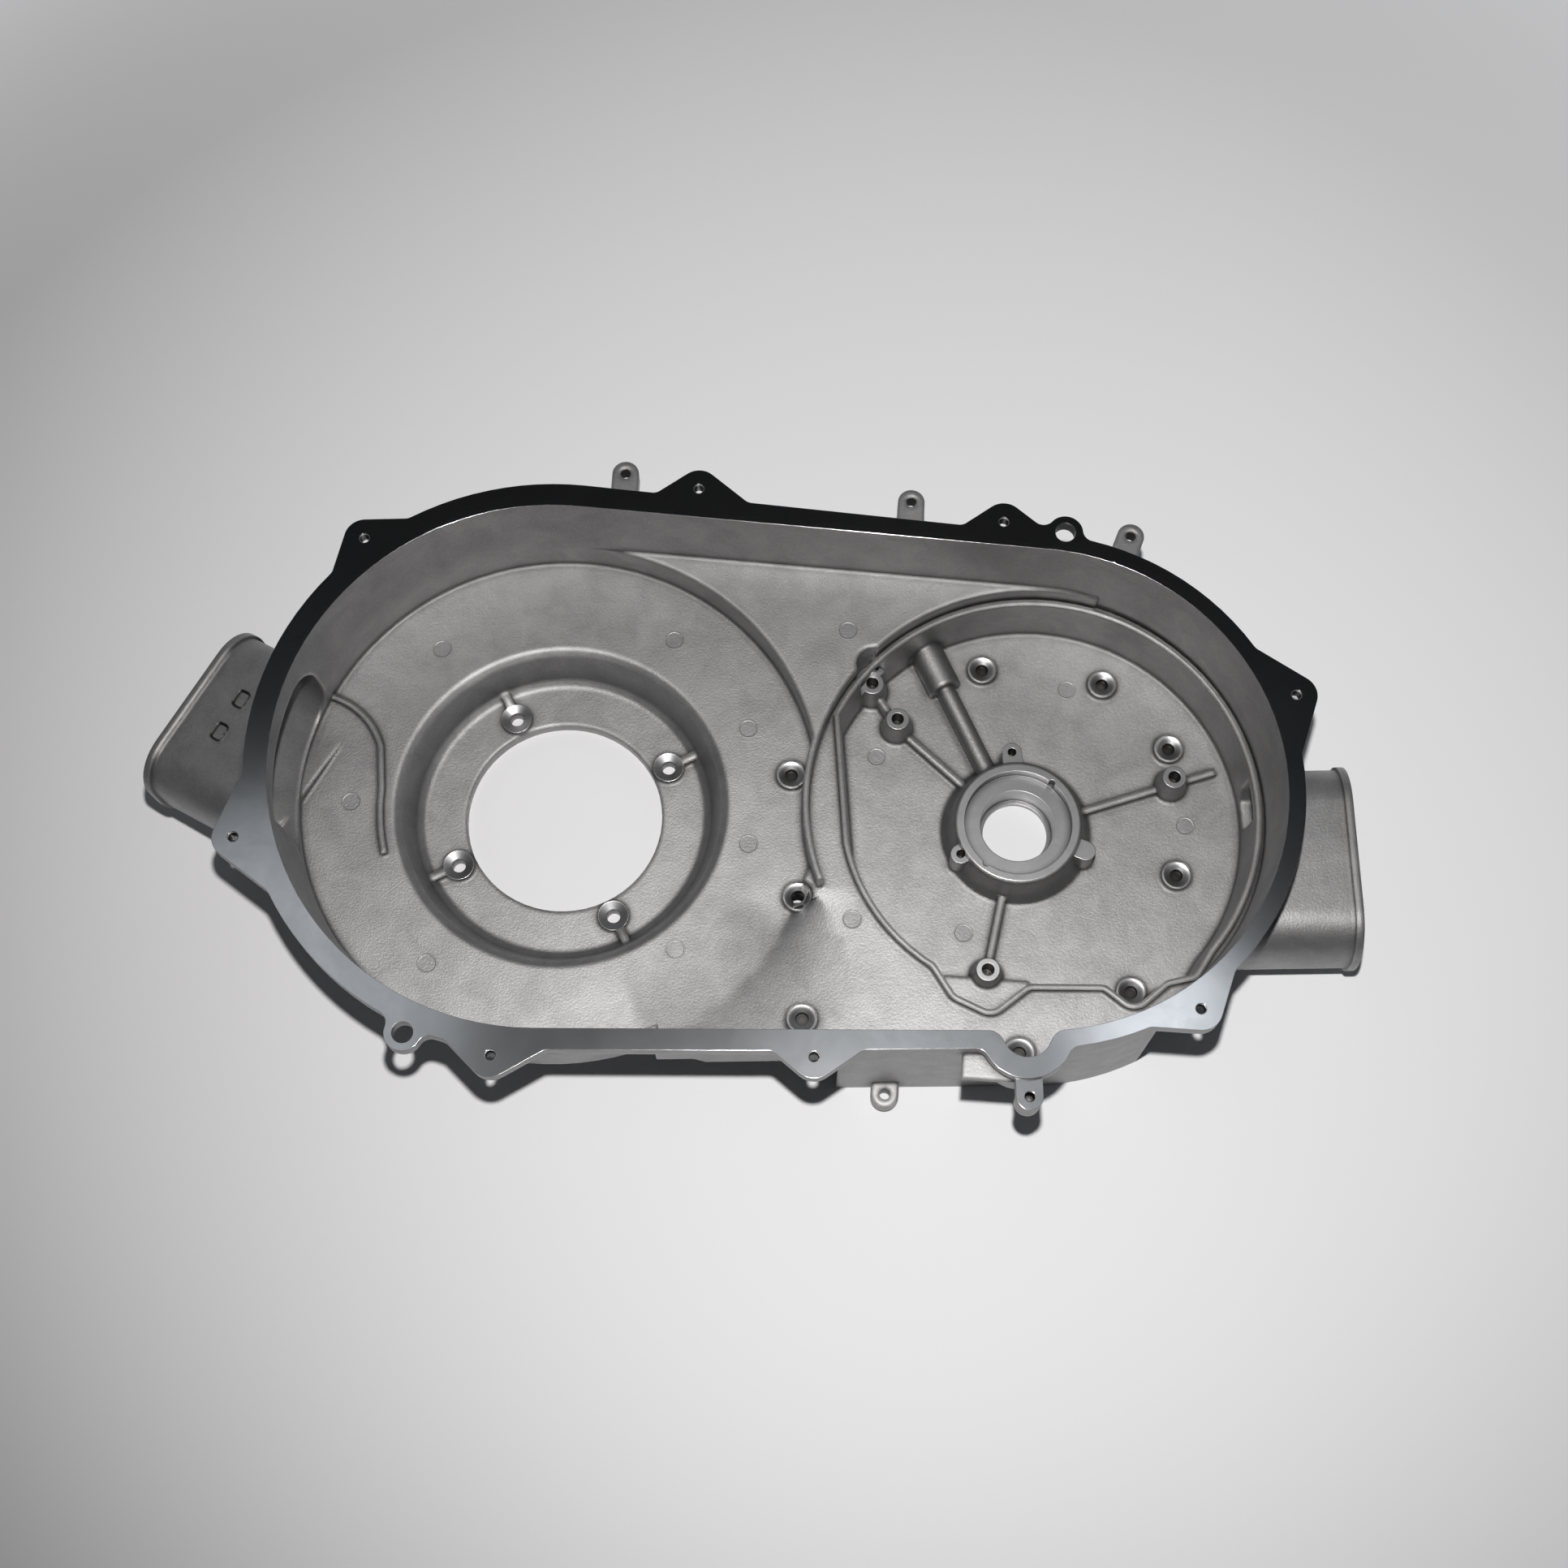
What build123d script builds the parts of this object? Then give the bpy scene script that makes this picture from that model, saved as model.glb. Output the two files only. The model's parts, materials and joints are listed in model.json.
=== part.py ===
from build123d import *
from math import acos, atan2, cos, pi, radians, sin
import os

# Inner case of a quad bike's belt drive: one pressure die casting, lying on its back.
# Millimetres. The crank opening's axis is the origin and X runs along the case.
# z = 0 is the plane of the casting's back and the machined joint face looks along +Z.

# Layout and levels
driven_shaft = Vector(237.5, 8.5)
joint_level = 90.0
flange_thickness = 8.0
saddle_level = 50.0
ledge_level = 37.0
crank_floor_level = 29.0
crank_plate_level = 7.0
chamber_level = 6.0
plate = 4.0
wall = 4.0
wall_top = 3.0

# Cuts run past the casting by this much, and regions reach farther than any part of it
overrun = 1.0
far = 600.0

# The two lobes of the open rim: radius, and centre measured from the shaft of that lobe
crank_rim_radius = 137.0
crank_rim_centre = Vector(-3.5, 4.5)
crank_wall_lean = 2.7
crank_foot_centre = Vector(-0.7, 2.2)
driven_rim_radius = 125.5
driven_rim_centre = driven_shaft + Vector(1.5, 0.5)
driven_wall_lean = 4.5
driven_foot_centre = driven_shaft + Vector(4.0, 1.3)

# Joint flange: its width beyond the rim, and ears as (centre of lobe, angle, hole beyond the rim)
crank_flange_width = 12.0
driven_flange_width = 8.5
lower_flange_width = 10.5
crank_ears = [(133.0, 15.2), (66.9, 27.4), (-93.7, 14.6), (-160.5, 19.4), (-44.5, 64.2)]
driven_ears = [(98.4, 15.2), (23.0, 14.8), (-52.5, 12.2)]
crank_dowels = [(-110.2, 15.7)]
driven_dowels = [(85.3, 10.5)]
ear_radius = 10.5
ear_flare = 52.5
screw_hole_radius = 2.7
dowel_pad_radius = 9.0
dowel_hole_radius = 5.2
outline_softness = 6.0

# Crank opening and the dished recess round it
crank_opening_radius = 51.5
recess_plate_radius = 76.5
recess_flare = 7.5
recess_chamfer = 3.0
crank_bolt_radius = 60.8
crank_bolt_angle = 30.5
crank_boss_radius = 8.0
crank_boss_height = 3.0
crank_boss_hole_radius = 3.6
boss_neck_width = 4.5
boss_neck_overlap = 3.0

# Driven chamber: stepped ledge, deep pot with its waist, and the bead along its edge
chamber_centre = driven_shaft + Vector(7.5, 3.5)
ledge_step = 4.0
ledge_width = 4.0
saddle_tip = 34.5
low_start = 0.45 * crank_rim_radius
waist_inset = 15.0
waist_start = 195.0
waist_turn = 46.0
chamber_start = -37.0
chamber_turn = 194.0
chamber_draft = 4.5
chamber_corner = 6.5
lower_bumps = [(-17, -18.5), (1.5, -26), (19, -10.5)]
cusp_bumps = [(-17, -5), (-2.1, -15.5), (13.5, -0.5), (27.6, 3.5)]
bead_width = 3.0
bead_height = 2.5

# Arc rib between the crank floor and the ledge, and the ramp below it
arc_rib_thickness = 3.0
arc_rib_start_angle = 150.0
arc_rib_end_angle = 204.5
ramp_angles = (-22, -45, -68)
ramp_top = [Vector(-108, -54), Vector(-88, -96), Vector(-112, -150)]
ramp_edge = 0.3

# Hub of the driven shaft
hub_radius = 33.0
hub_foot_radius = 39.5
hub_back_radius = 30.0
hub_level = 25.0
hub_edge = 1.2
hub_foot_height = 4.0
seat_radius = 28.0
seat_depth = 6.5
shaft_bore_radius = 19.3
shaft_lip_radius = 17.0
shaft_lip_length = 3.0
oil_hole_radius = 1.8
oil_hole_depth = 6.0
oil_hole_angles = [54.0, 236.0]
hub_lug_radius = 5.2
hub_lug_hole_radius = 2.2
hub_lug_drop = 1.5
hub_lugs = [(97.0, 39.2), (213.0, 34.6), (340.5, 37.6)]

# Posts and bosses, placed from the driven shaft, or from the crank on the crank floor
post_radius = 6.0
post_foot_radius = 8.8
post_hole_radius = 3.2
post_hole_depth = 12.0
post_level = 22.0
corner_post = driven_shaft + driven_rim_radius * Vector(-0.639, 0.582)
corner_pocket_radius = 9.3
inner_post = driven_shaft + driven_rim_radius * Vector(-0.5235, 0.4287)
right_post = driven_shaft + driven_rim_radius * Vector(0.6446, 0.2526)
lower_post = driven_shaft + driven_rim_radius * Vector(-0.0964, -0.6295)
cusp_boss = driven_shaft + driven_rim_radius * Vector(0.4996, -0.6542)
boss_radius = 7.8
boss_height = 3.0
boss_dish = 1.8
boss_hole_radius = 3.3
boss_hole_depth = 5.0
chamber_bosses = [(103.5, 92.7), (63.5, 96.5), (33.3, 95.0), (-11.8, 86.7)]
crank_floor_bosses = [(11.4, 120.5), (-18.3, 132.7)]
ledge_boss = (-132.3, 155.9)
rib_width = 3.8
rib_level = 9.5
link_level = 15.0
land_level = 12.0
land_width = 44.0
land_start = 2.0

# Oil gallery lying on the chamber floor
gallery_level = 11.0
gallery_radius = 5.3
gallery_head_radius = 9.0
gallery_angle = 118.3
gallery_reach = 112.0
gallery_head_length = 25.5

# Guide rib on the crank floor
guide_points = [(-127.7, 50.7), (-108.5, 41.2), (-97.0, 24.5), (-93.6, 1.6), (-92.0, -17.0), (-87.8, -33.7)]
guide_width = 3.0
guide_height = 2.5

# Round pocket and nub at the lower edge of the flange
notch_centre = driven_shaft + Vector(3.0, -0.5 - driven_rim_radius)
notch_boss = notch_centre + Vector(1.0, 1.0)
notch_radius = 12.0
notch_ring = 10.3
notch_flare = 8.0
nub_radius = 6.4
nub_reach = 30.3
nub_lean = 2.7
nub_drop = 3.0
nub_length = 16.0
nub_hole_depth = 10.0
nub_hole_radius = 2.6
shelf_thickness = 3.0
shelf_level = 79.5
shelf_length = 26.0
shelf_reach = 22.3

# Apron below the flange on the driven side
apron_start = -85.5
apron_end = 67.1
apron_top = -60.0
apron_join_level = 60.0

# Fixing tabs: angle and hole beyond the rim of the named lobe
tab_radius = 7.0
tab_neck = 50.0
tab_thickness = 10.0
tab_level = 66.0
tab_hole_radius = 2.75
lower_tab_level = 12.0
lower_tab_thickness = 9.0
crank_tabs = [(82.1, 33.3)]
driven_tabs = [(113.2, 46.9), (72.1, 28.9)]
lower_tab = (-113.2, 32.6)

# Air ducts: oval section, mouth and direction
duct_wall = 3.5
duct_lip = 1.5
duct_lip_length = 4.0
inlet_width = 95.0
inlet_height = 52.0
inlet_corner = 20.0
inlet_mouth = Vector(-184.7, 27.2, 47.5)
inlet_angle = 154.0
inlet_fall = 9.8
inlet_length = 78.0
sill_height = 7.0
sill_start = 117.0
sill_length = 40.0
sill_side = 28.0
sill_width = 56.0
outlet_width = 103.0
outlet_height = 50.0
outlet_corner = 23.0
outlet_mouth = Vector(driven_shaft.X + 169.1, driven_shaft.Y - 14.0, 28.0)
outlet_angle = 5.0
outlet_length = 72.0
window_rise = 18.0
window_width = 21.0
window_sill_level = 12.0


def polar(centre, radius, angle):
    return centre + Vector(radius * cos(radians(angle)), radius * sin(radians(angle)))


def disc(centre, radius):
    return Pos(centre.X, centre.Y) * Circle(radius)


def hull(*circles):
    """Outline round circles given counter-clockwise as (centre, radius), with outer tangents."""
    normals = []
    for (centre, radius), (after, after_radius) in zip(circles, circles[1:] + circles[:1]):
        run = after - centre
        spread = acos((radius - after_radius) / run.length)
        normals.append(atan2(run.Y, run.X) - spread)
    edges = []
    for k, (centre, radius) in enumerate(circles):
        start = normals[k - 1]
        turn = (normals[k] - start) % (2 * pi)
        after, after_radius = circles[(k + 1) % len(circles)]
        ends = [centre + radius * Vector(cos(start + turn * t), sin(start + turn * t)) for t in (0, 0.5, 1)]
        target = after + after_radius * Vector(cos(normals[k]), sin(normals[k]))
        edges.append(ThreePointArc(*ends))
        edges.append(Line(ends[2], target))
    return make_face(Curve() + edges)


def slab(outline, low, high):
    return Pos(0, 0, low) * extrude(outline, high - low)


def bar(start, end, width, low, high):
    """Upright rib with square ends, from start to end in plan."""
    run = end - start
    middle = (start + end) * 0.5
    turn = atan2(run.Y, run.X) * 180 / pi
    return Pos(middle.X, middle.Y, low) * Rot(0, 0, turn) * extrude(Rectangle(run.length, width), high - low)


crank_rim = (crank_rim_centre, crank_rim_radius)
driven_rim = (driven_rim_centre, driven_rim_radius)
crank_foot = (crank_foot_centre, crank_rim_radius - crank_wall_lean)
driven_foot = (driven_foot_centre, driven_rim_radius - driven_wall_lean)
ledge_radius = driven_foot[1] - ledge_step
chamber_radius = ledge_radius - ledge_width
flange_level = joint_level - flange_thickness


def grown(lobe, amount):
    return lobe[0], lobe[1] + amount


rim_outline = hull(crank_rim, driven_rim)
foot_outline = hull(crank_foot, driven_foot)
outer_foot = hull(grown(crank_foot, wall), grown(driven_foot, wall))
low_side = make_face(Polyline(
    (low_start, -far), (far, -far), (far, far), (driven_shaft.X + saddle_tip, far),
    (driven_shaft.X + saddle_tip, chamber_centre.Y), (low_start, chamber_centre.Y), close=True))


def lobe_points(lobe, places):
    centre, radius = lobe
    return [polar(centre, radius + reach, angle) for angle, reach in places]


crank_bolts = [polar(Vector(0, 0), crank_bolt_radius, crank_bolt_angle + 90 * k) for k in range(4)]
ear_points = lobe_points(crank_rim, crank_ears) + lobe_points(driven_rim, driven_ears)
dowel_points = lobe_points(crank_rim, crank_dowels) + lobe_points(driven_rim, driven_dowels)
tab_points = lobe_points(crank_rim, crank_tabs) + lobe_points(driven_rim, driven_tabs)
lower_tab_point = lobe_points(driven_rim, [lower_tab])[0]
nub_point = notch_centre + Vector(nub_lean, -nub_reach)


def frustum(centre, low_radius, high_radius, low, high):
    """Drafted round boss."""
    cone = Cone(low_radius, high_radius, high - low, align=(Align.CENTER, Align.CENTER, Align.MIN))
    return Pos(centre.X, centre.Y, low) * cone


def inward(point):
    """Unit vector from a point of the flange towards the line that joins the two lobes."""
    run = driven_rim_centre - crank_rim_centre
    share = max(0, min(1, (point - crank_rim_centre).dot(run) / run.dot(run)))
    return (crank_rim_centre + run * share - point).normalized()


def ear(point):
    """Flared ear of the flange round a screw hole."""
    aim = inward(point)
    side = Vector(-aim.Y, aim.X)
    flare = radians(ear_flare)
    depth = 2 * ear_radius
    edge = aim * (-sin(flare) * ear_radius)
    reach = (ear_radius + depth * sin(flare)) / cos(flare)
    flank = side * (cos(flare) * ear_radius)
    corners = [point + edge + flank, point + aim * depth + side * reach,
               point + aim * depth - side * reach, point + edge - flank]
    return make_face(Polyline(*corners, close=True)) + disc(point, ear_radius)


def flange_body():
    wide = hull(grown(crank_rim, crank_flange_width), grown(driven_rim, driven_flange_width))
    straight = hull(grown(crank_rim, lower_flange_width), grown(driven_rim, lower_flange_width))
    lower = Pos(driven_shaft.X / 2, -far / 2) * Rectangle(driven_shaft.X, far - driven_shaft.X)
    return wide - (lower - straight)


def flange_outline():
    outline = flange_body()
    for point in ear_points:
        outline += ear(point)
    for point in dowel_points:
        outline += disc(point, dowel_pad_radius)
    outline += disc(notch_centre, notch_radius + notch_ring)
    return offset(offset(outline, outline_softness), -outline_softness)


def chamber_outline(growth):
    """Plan of the deep pot: a round wall with a waist, and bumps round one post and one boss."""
    round_wall = CenterArc(chamber_centre, chamber_radius, chamber_start, chamber_turn)
    waist = CenterArc(chamber_centre, chamber_radius - waist_inset, waist_start, waist_turn)
    bumps = [lower_post + Vector(*place) for place in lower_bumps]
    bumps += [cusp_boss + Vector(*place) for place in cusp_bumps]
    lower_edge = Polyline(waist @ 1, *bumps, round_wall @ 0)
    outline = make_face(Curve() + [round_wall, Line(round_wall @ 1, waist @ 0), waist] + lower_edge.edges())
    corners = [v for v in outline.vertices() if any((Vector(v) - p).length < 0.01 for p in bumps)]
    outline = fillet(corners, chamber_corner)
    return offset(outline, growth) if growth else outline


def ledge_region(growth):
    """Everything inside the walls that lies at ledge level, grown outwards by a wall."""
    return disc(chamber_centre, ledge_radius + growth) + (hull(
        grown(crank_foot, growth), grown(driven_foot, growth)) & low_side)


def recess(growth, top):
    """Turned dish round the crank opening."""
    low = crank_plate_level - growth
    high = crank_floor_level - growth
    foot = recess_plate_radius + growth
    shoulder = foot + recess_flare
    brim = shoulder + 2 * recess_chamfer
    profile = make_face(Polyline(
        (0, low), (foot, low), (shoulder, high), (brim, high), (brim, top), (0, top), close=True))
    if not growth:
        corners = [v for v in profile.vertices() if (v.Y == low and v.X > 0) or (v.Y == high and v.X < brim)]
        profile = chamfer(corners, recess_chamfer)
    return revolve(Plane.XZ * profile, Axis.Z)


def ramp_side(growth):
    """Arc where the ramp meets the crank floor, clockwise."""
    return [polar(crank_foot_centre, crank_foot[1] + growth, angle) for angle in ramp_angles]


def ramp_plan():
    """Plan of the ramp at ledge level."""
    side = ramp_side(0)
    apex, bend, end = [chamber_centre + offset for offset in ramp_top]
    return make_face(Curve() + [ThreePointArc(*side), Line(side[2], end),
                                ThreePointArc(end, bend, apex), Line(apex, side[0])])


def ramp():
    """Wedge of air above the sloping floor between the crank floor and the ledge."""
    inner = ramp_side(0)
    outer = ramp_side(ramp_edge)[::-1]
    low = make_face(Curve() + [ThreePointArc(*inner), Line(inner[2], outer[0]),
                               ThreePointArc(*outer), Line(outer[2], inner[0])])
    return loft([Pos(0, 0, crank_floor_level) * low, Pos(0, 0, ledge_level) * ramp_plan()], ruled=True)


def oval(width, height, corner, growth):
    return RectangleRounded(width + 2 * growth, height + 2 * growth, corner + growth)


def duct(mouth, angle, fall, length, section, growth, reach):
    """Straight oval duct from its mouth back into the casting."""
    width, height, corner = section
    frame = Pos(mouth.X, mouth.Y, mouth.Z) * Rot(0, 0, angle) * Rot(0, 90 + fall, 0) * Rot(0, 0, 90)
    return frame * Pos(0, 0, -length) * extrude(oval(width, height, corner, growth), length + reach)


inlet = (inlet_mouth, inlet_angle, inlet_fall, inlet_length, (inlet_width, inlet_height, inlet_corner))
outlet = (outlet_mouth, outlet_angle, 0, outlet_length, (outlet_width, outlet_height, outlet_corner))


def pot(growth):
    """The deep chamber from the ledge down to its floor, drafted on the inside only."""
    depth = ledge_level - chamber_level + growth
    draft = 0 if growth else chamber_draft
    return Pos(0, 0, ledge_level) * extrude(chamber_outline(growth), -depth, taper=draft)


def notch_outline(growth):
    """Round pocket in the flange's lower edge, flared into the rim."""
    rim = rim_outline + disc(notch_centre, notch_radius)
    flared = offset(offset(rim, notch_flare), -notch_flare)
    box = Pos(notch_centre.X, notch_centre.Y) * Rectangle(4 * notch_radius, 3 * notch_radius)
    pocket = flared & box
    return offset(pocket, growth) if growth else pocket


def duct_body(mouth, angle, fall, length, section):
    lip = duct(mouth, angle, fall, duct_lip_length, section, duct_lip, 0)
    return duct(mouth, angle, fall, length, section, 0, 0) + lip


def tab(point, low, high):
    aim = inward(point)
    neck = bar(point, point + aim * tab_neck, 2 * tab_radius, low, high)
    return slab(disc(point, tab_radius), low, high) + neck


def apron():
    """Skirt flush with the flange, from the back of the casting up to the tub wall."""
    middle = driven_shaft.X + (apron_start + apron_end) / 2
    box = Pos(middle, apron_top - far / 2) * Rectangle(apron_end - apron_start, far)
    body = flange_body() & box
    inner = offset(flange_body(), -wall) & Pos(0, 2 * wall) * box
    return slab(body, apron_join_level, flange_level) + slab(body - inner, 0, apron_join_level)


def outside():
    """The casting before it is hollowed: each floor and wall carried outwards by its thickness."""
    body = slab(flange_outline(), flange_level, joint_level)
    upper = hull(grown(crank_rim, wall_top), grown(driven_rim, wall_top))
    body += slab(upper, saddle_level - plate, joint_level)
    body += slab(disc(*grown(crank_foot, wall)), crank_floor_level - plate, saddle_level)
    body += recess(wall, saddle_level)
    body += slab(ledge_region(wall), ledge_level - plate, saddle_level)
    body += slab(outer_foot, crank_floor_level - plate, saddle_level) & slab(ramp_plan(), 0, saddle_level)
    body += pot(wall)
    body += slab(disc(driven_shaft, hub_back_radius), 0, chamber_level)
    body += slab(disc(Vector(0, 0), crank_bolt_radius + crank_boss_radius), 0, crank_plate_level)
    body += slab(disc(corner_post, corner_pocket_radius + wall), post_level - plate, saddle_level)
    body += slab(notch_outline(wall), ledge_level - plate, joint_level)
    body += apron()
    body += slab(disc(nub_point, nub_radius), joint_level - nub_drop - nub_length, joint_level - nub_drop)
    body += bar(nub_point, notch_centre, 2 * nub_radius, flange_level - nub_drop, joint_level - nub_drop)
    for point in tab_points:
        body += tab(point, tab_level - tab_thickness, tab_level)
    body += tab(lower_tab_point, lower_tab_level - lower_tab_thickness, lower_tab_level)
    shelf = Pos(nub_point.X - nub_radius - shelf_length / 2, notch_centre.Y - shelf_reach / 2)
    body += slab(shelf * Rectangle(shelf_length, shelf_reach), shelf_level - shelf_thickness, shelf_level)
    body += duct_body(*inlet) + duct_body(*outlet)
    return body


def tub():
    """All the air inside the walls, floor by floor."""
    rib_ring = disc(chamber_centre, ledge_radius + arc_rib_thickness)
    crank_side = disc(*crank_foot) - rib_ring
    rib_sector = make_face(Polyline(
        (chamber_centre.X, chamber_centre.Y), polar(chamber_centre, far, arc_rib_start_angle),
        polar(chamber_centre, far, arc_rib_end_angle), close=True))
    rib = (rib_ring - disc(chamber_centre, ledge_radius)) & rib_sector
    air = loft([Pos(0, 0, saddle_level) * foot_outline, Pos(0, 0, joint_level) * rim_outline], ruled=True)
    air += slab(crank_side, crank_floor_level, saddle_level)
    air += slab((ledge_region(0) & foot_outline) - rib - disc(*crank_foot), ledge_level, saddle_level)
    air += slab(disc(chamber_centre, ledge_radius) & disc(*crank_foot), ledge_level, saddle_level)
    air += recess(0, saddle_level)
    air += ramp() & slab(foot_outline - rib, crank_floor_level, ledge_level)
    air += pot(0)
    air += slab(notch_outline(0), ledge_level, joint_level)
    air += slab(disc(corner_post, corner_pocket_radius), post_level, saddle_level)
    return air


def ducts_open():
    """Bores of both air ducts, from outside the mouth to the inside of the tub."""
    above = slab(outer_foot, ledge_level - plate, joint_level)
    window = Pos(outlet_mouth.X, driven_shaft.Y + window_rise) * Rectangle(2 * outlet_length, window_width)
    closed = pot(wall) - slab(window, window_sill_level, ledge_level)
    return duct(*inlet, -duct_wall, 1) + (duct(*outlet, -duct_wall, 1) - above - closed)


def sill():
    """Sloping step on the crank floor in front of the inlet."""
    low = crank_floor_level - overrun
    end = sill_side + sill_width
    profile = make_face(Polyline(
        (sill_side, low), (end, low), (end, crank_floor_level + sill_height), (sill_side, crank_floor_level),
        close=True))
    return Rot(0, 0, inlet_angle) * Pos(sill_start, 0, 0) * extrude(Plane.YZ * profile, sill_length)


def dish(point, top):
    """Sunk top and blind hole of a round boss."""
    cone = Cone(boss_hole_radius, boss_radius - 1, boss_dish, align=(Align.CENTER, Align.CENTER, Align.MAX))
    return slab(disc(point, boss_hole_radius), top - boss_hole_depth, top) + Pos(point.X, point.Y, top) * cone


def bosses():
    """Every dished boss as its centre, the floor below it and the level of its top."""
    low = [(polar(driven_shaft, reach, angle), chamber_level, chamber_level + boss_height)
           for angle, reach in chamber_bosses]
    low.append((cusp_boss, chamber_level, chamber_level + boss_height))
    mid = [(polar(Vector(0, 0), reach, angle), crank_floor_level, crank_floor_level + boss_height)
           for angle, reach in crank_floor_bosses]
    high = [(polar(driven_shaft, ledge_boss[1], ledge_boss[0]), crank_floor_level, ledge_level + boss_height),
            (notch_boss, ledge_level, ledge_level + boss_height)]
    return low + mid + high


posts = [corner_post, inner_post, right_post, lower_post]
lug_points = [polar(driven_shaft, reach, angle) for angle, reach in hub_lugs]


def fittings():
    """What stands on the floors of the tub."""
    bead = chamber_outline(bead_width) - chamber_outline(0)
    body = slab(bead, ledge_level - overrun, ledge_level + bead_height)
    waist_radius = (hub_radius + hub_foot_radius) / 2
    waist_level = chamber_level + hub_foot_height
    body += frustum(driven_shaft, hub_foot_radius, waist_radius, chamber_level, waist_level)
    hub = frustum(driven_shaft, waist_radius, hub_radius, waist_level, hub_level)
    body += chamfer(hub.edges().sort_by(Axis.Z)[-1], hub_edge)
    lug_level = hub_level - hub_lug_drop
    for point in lug_points:
        body += slab(disc(point, hub_lug_radius), chamber_level, lug_level)
        body += bar(point, driven_shaft, 2 * hub_lug_radius, chamber_level, lug_level)
    for point, low, high in bosses():
        body += slab(disc(point, boss_radius), low - overrun, high)
    for point in posts:
        body += frustum(point, post_foot_radius, post_radius, chamber_level, post_level)
    rib_end = driven_shaft + (right_post - driven_shaft).normalized() * gallery_reach
    for end in [inner_post, lower_post, rib_end]:
        body += bar(driven_shaft, end, rib_width, chamber_level - overrun, rib_level)
    body += bar(inner_post, corner_post, rib_width, chamber_level - overrun, link_level)
    land = Pos(lower_post.X, lower_post.Y - land_start - land_width / 2) * Rectangle(land_width, land_width)
    body += slab(chamber_outline(0) & land, chamber_level - overrun, land_level)
    start = polar(driven_shaft, gallery_reach, gallery_angle)
    axis = driven_shaft - start
    frame = Plane(origin=(start.X, start.Y, gallery_level), z_dir=(axis.X, axis.Y, 0))
    body += extrude(frame * Circle(gallery_head_radius), gallery_head_length)
    body += extrude(frame * Circle(gallery_radius), axis.length - hub_radius)
    for point in crank_bolts:
        neck = point.normalized() * (recess_plate_radius + boss_neck_overlap)
        low = crank_plate_level - overrun
        high = crank_plate_level + crank_boss_height
        body += slab(disc(point, crank_boss_radius), low, high) + bar(point, neck, boss_neck_width, low, high)
    guide = ThreePointArc(*guide_points[:3]) + Line(*guide_points[2:4]) + ThreePointArc(*guide_points[3:])
    body += slab(trace(guide, guide_width), crank_floor_level - overrun, crank_floor_level + guide_height)
    return body


def holes():
    """Drilled and bored holes."""
    air = slab(disc(Vector(0, 0), crank_opening_radius), -overrun, joint_level)
    air += slab(disc(driven_shaft, shaft_lip_radius), -overrun, joint_level)
    air += slab(disc(driven_shaft, shaft_bore_radius), shaft_lip_length, joint_level)
    air += slab(disc(driven_shaft, seat_radius), hub_level - seat_depth, joint_level)
    for angle in oil_hole_angles:
        point = polar(driven_shaft, seat_radius, angle)
        air += slab(disc(point, oil_hole_radius), hub_level - oil_hole_depth, hub_level + overrun)
    for point in lug_points[:2]:
        air += slab(disc(point, hub_lug_hole_radius), hub_level - post_hole_depth, hub_level)
    for point in ear_points:
        air += slab(disc(point, screw_hole_radius), flange_level - overrun, joint_level)
    for point in dowel_points:
        air += slab(disc(point, dowel_hole_radius), flange_level - overrun, joint_level)
    air += slab(disc(nub_point, nub_hole_radius), joint_level - nub_drop - nub_hole_depth, joint_level)
    for point, low, high in bosses():
        air += dish(point, high)
    for point in posts:
        air += slab(disc(point, post_hole_radius), post_level - post_hole_depth, post_level)
    for point in crank_bolts:
        air += slab(disc(point, crank_boss_hole_radius), -overrun, crank_floor_level)
    for point in tab_points:
        air += slab(disc(point, tab_hole_radius), tab_level - tab_thickness - overrun, tab_level + overrun)
    air += slab(disc(lower_tab_point, tab_hole_radius), -overrun, lower_tab_level + overrun)
    return air


casting = outside() - tub() - ducts_open() + sill() + fittings() - holes()
os.makedirs("parts", exist_ok=True)
export_step(Part(casting.wrapped), "parts/variator_housing.step")
print("volume cm3", casting.volume / 1000, "solids", len(casting.solids()))
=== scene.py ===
import json
from math import cos, hypot, pi, radians, sin

import bpy
from mathutils import Matrix, Vector


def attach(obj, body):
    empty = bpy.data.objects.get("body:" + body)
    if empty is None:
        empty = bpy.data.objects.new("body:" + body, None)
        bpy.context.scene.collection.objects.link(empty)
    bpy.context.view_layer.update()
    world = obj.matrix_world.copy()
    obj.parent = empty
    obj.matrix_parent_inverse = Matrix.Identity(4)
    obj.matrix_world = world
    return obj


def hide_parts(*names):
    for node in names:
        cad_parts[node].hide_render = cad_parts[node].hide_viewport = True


# A die-cast belt drive case on a pale table, lit by a small lamp above the lens.
# Metres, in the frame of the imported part: z = 0 is the table and the open side looks up.

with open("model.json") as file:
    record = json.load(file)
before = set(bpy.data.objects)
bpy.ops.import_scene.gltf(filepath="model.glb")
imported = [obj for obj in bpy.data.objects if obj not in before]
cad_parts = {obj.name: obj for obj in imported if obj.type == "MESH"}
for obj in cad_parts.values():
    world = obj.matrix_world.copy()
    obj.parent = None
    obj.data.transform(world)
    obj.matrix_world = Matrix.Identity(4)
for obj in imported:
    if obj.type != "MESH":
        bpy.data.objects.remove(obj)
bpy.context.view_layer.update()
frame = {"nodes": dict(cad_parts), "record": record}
scene = bpy.context.scene
mounts = {mount["name"]: mount for mount in frame["record"]["mounts"]}
millimetre = 0.001
print("loaded", sorted(frame["nodes"]))


def deselect():
    bpy.ops.object.select_all(action="DESELECT")


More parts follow.
